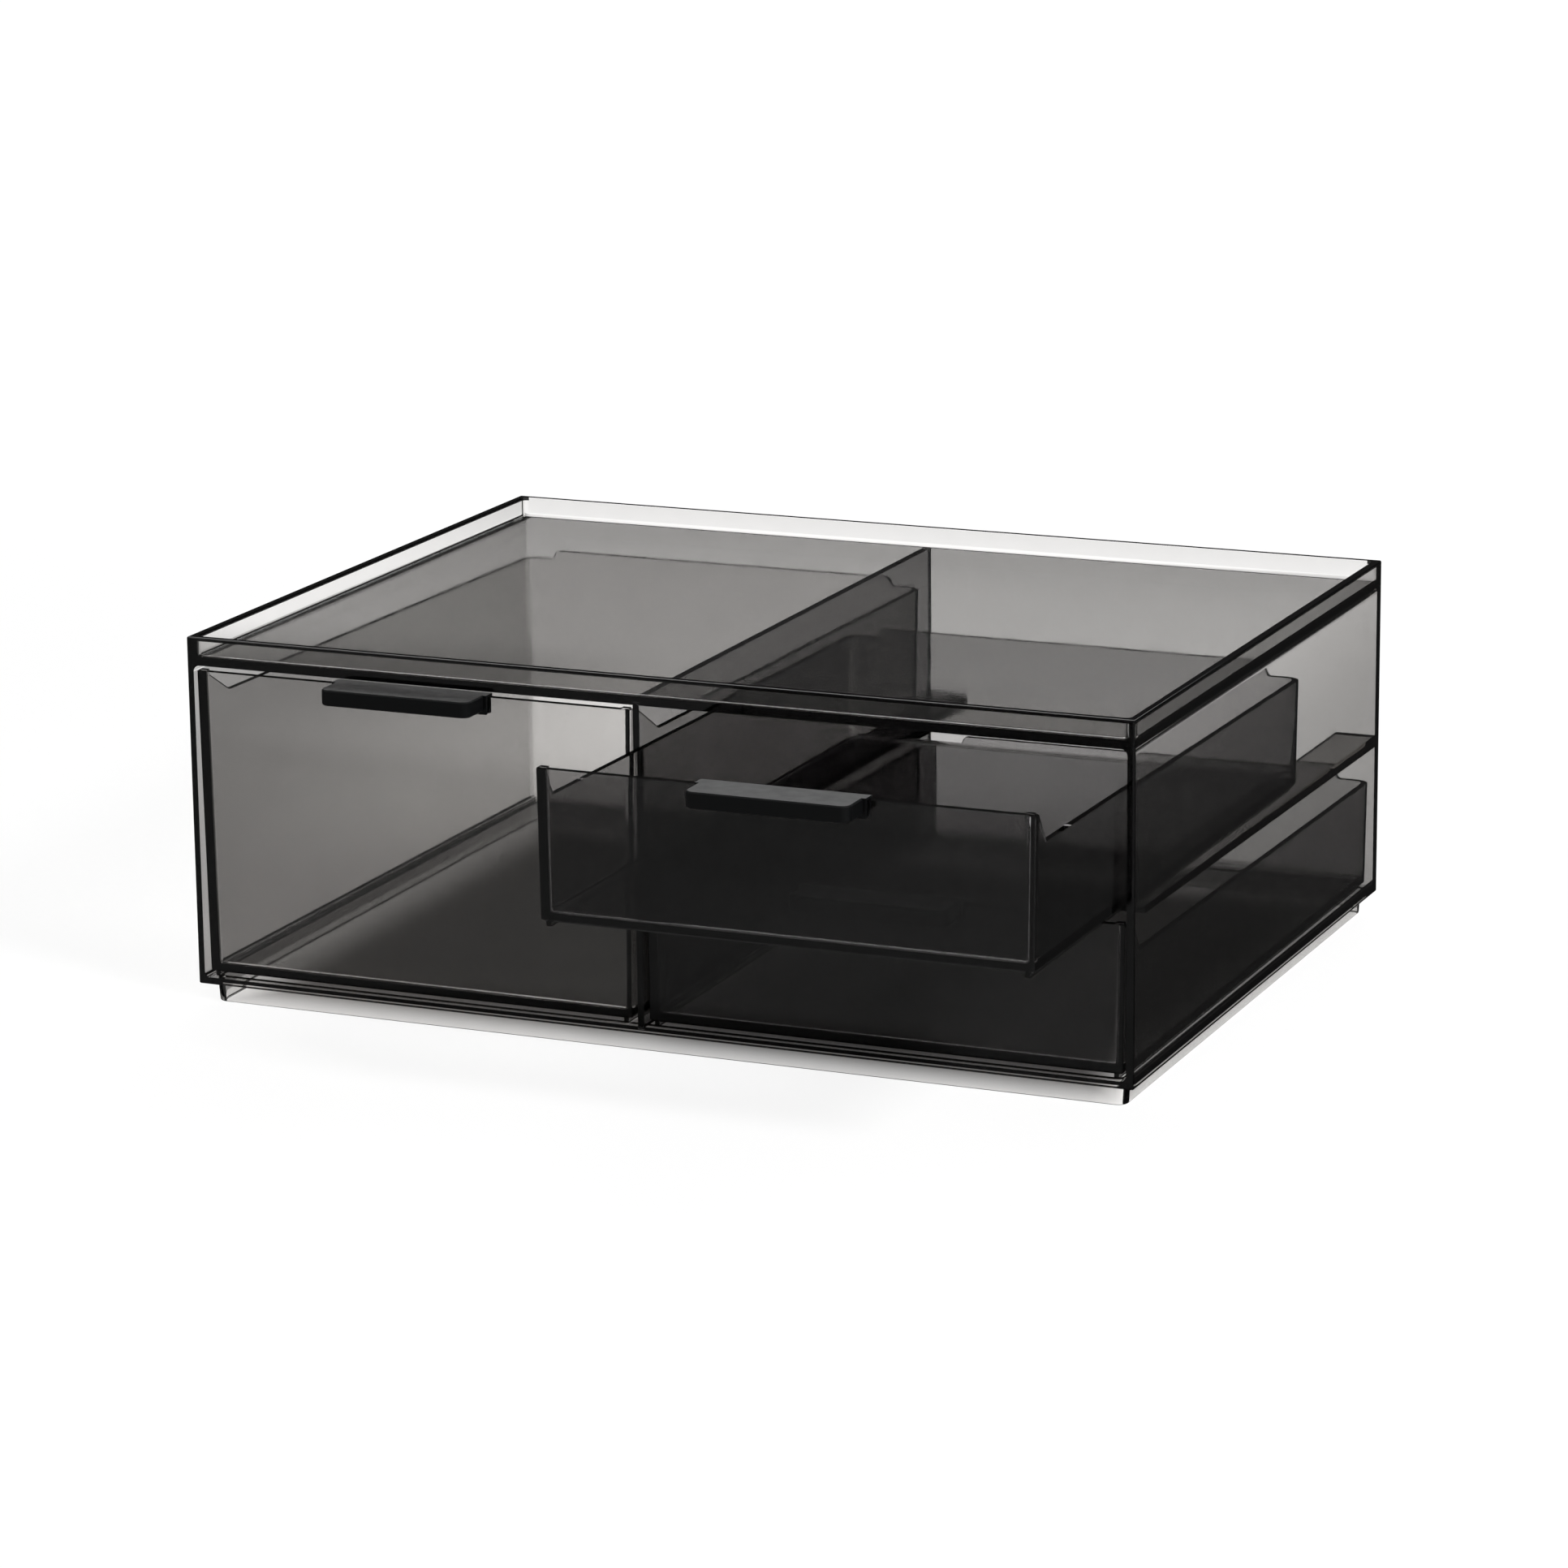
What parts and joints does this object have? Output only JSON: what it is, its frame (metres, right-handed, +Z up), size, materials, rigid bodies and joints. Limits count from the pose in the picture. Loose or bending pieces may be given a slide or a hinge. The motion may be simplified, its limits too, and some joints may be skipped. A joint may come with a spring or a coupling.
{
  "type": "desktop drawer organizer",
  "caption": "Low stackable desktop box in smoke-tinted clear plastic with a full-height drawer beside half-height drawers, hooked-on matte black pulls and a rimmed tray on top.",
  "frame": {"origin": "middle of the footprint of the foot, on the surface the organizer stands on", "axes": "+Z up, the drawers face -Y, +X to the right of someone facing the drawers"},
  "size_m": [0.32, 0.3313, 0.1212],
  "materials": {
    "smoke_clear_plastic": "polished smoke-tinted clear moulded plastic",
    "matte_black_plastic": "fine matte texture"
  },
  "bodies": {
    "case": {"case_shell": "smoke_clear_plastic", "centre_divider": "smoke_clear_plastic"},
    "left_drawer_body": {"left_drawer": "smoke_clear_plastic", "left_drawer_pull": "matte_black_plastic"},
    "upper_right_drawer_body": {"upper_right_drawer": "smoke_clear_plastic", "upper_right_drawer_pull": "matte_black_plastic"},
    "lower_right_drawer_body": {"lower_right_drawer": "smoke_clear_plastic", "lower_right_drawer_pull": "matte_black_plastic"}
  },
  "joints": [
    {"name": "left_drawer_slide", "type": "slide", "parent": "case", "child": "left_drawer_body", "axis": [0, -1, 0], "range_m": [0, 0.19]},
    {"name": "upper_right_drawer_slide", "type": "slide", "parent": "case", "child": "upper_right_drawer_body", "axis": [0, -1, 0], "range_m": [-0.0765, 0.1135]},
    {"name": "lower_right_drawer_slide", "type": "slide", "parent": "case", "child": "lower_right_drawer_body", "axis": [0, -1, 0], "range_m": [0, 0.19]}
  ]
}
